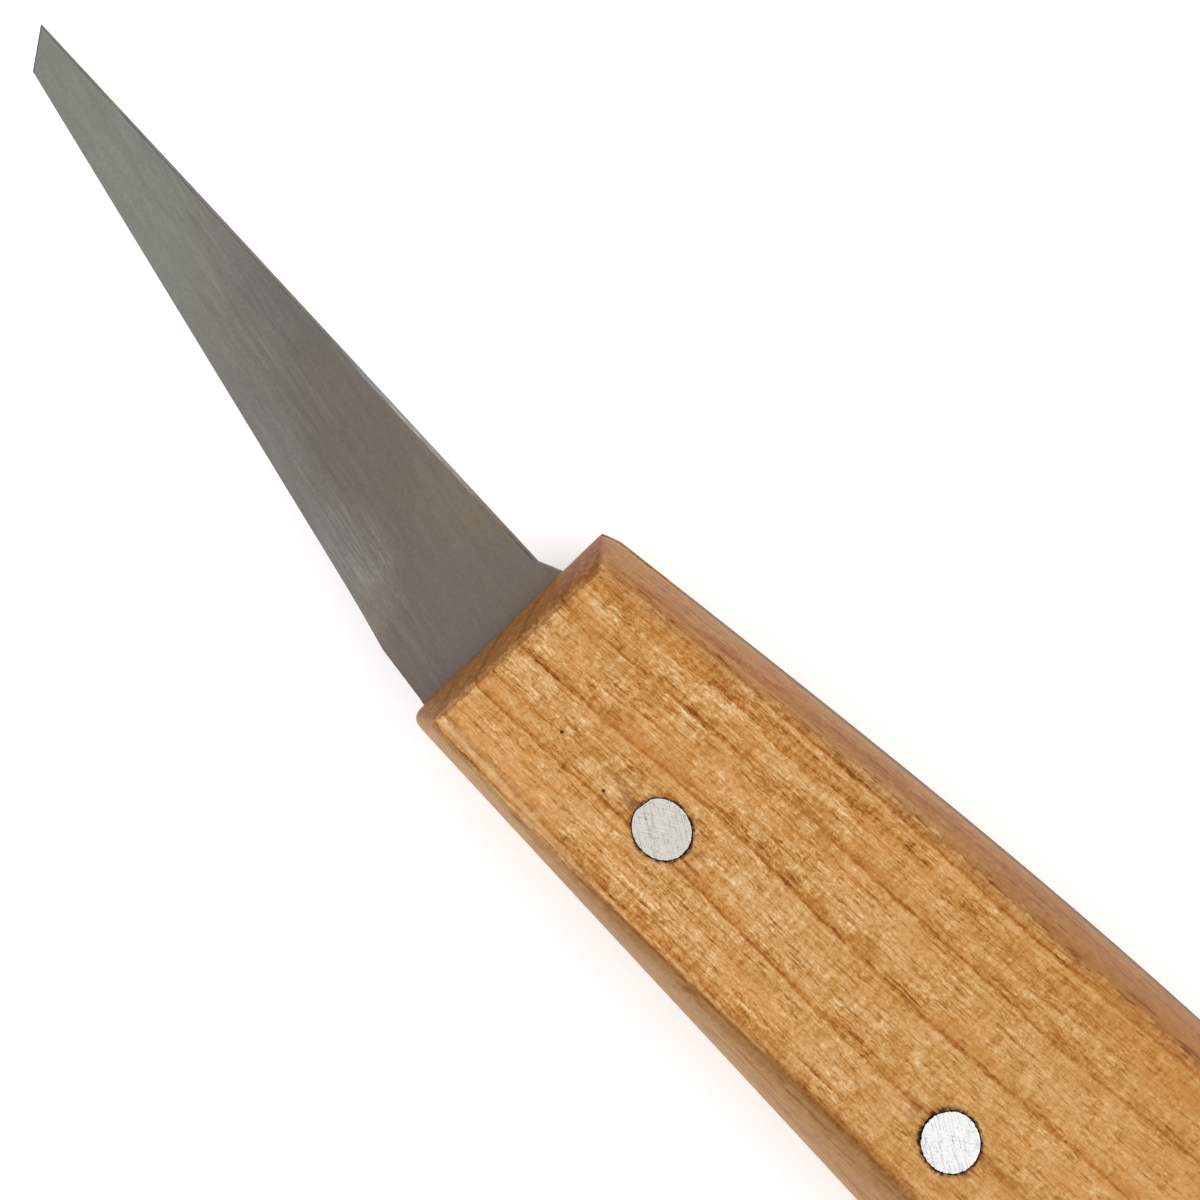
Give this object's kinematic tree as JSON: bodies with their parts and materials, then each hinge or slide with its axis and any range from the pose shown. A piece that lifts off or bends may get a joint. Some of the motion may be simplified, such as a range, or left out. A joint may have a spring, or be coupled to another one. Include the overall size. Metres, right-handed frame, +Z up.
{
  "type": "wood carving knife",
  "caption": "Fixed-blade wood carving knife: straight ground steel blade with a skew tip, full tang between humped wooden scales held by flush rivets",
  "frame": {"origin": "on the outer face of the right scale, under the line of the rivets, midway between the front and the middle rivet", "axes": "+X along the knife towards the butt, so the tip points to -X; +Y from the cutting edge to the spine; +Z up, out of the left scale, as the knife lies on its right scale"},
  "size_m": [0.1555, 0.0261, 0.0153],
  "materials": {
    "steel": "ground, fine lines along the blade",
    "wood": "oiled fruitwood, grain along the handle",
    "rivet_metal": "ground flush, fine sanding lines"
  },
  "bodies": {
    "root": {"blade": "steel", "left_scale": "wood", "right_scale": "wood", "front_rivet": "rivet_metal", "middle_rivet": "rivet_metal", "rear_rivet": "rivet_metal"}
  },
  "joints": []
}
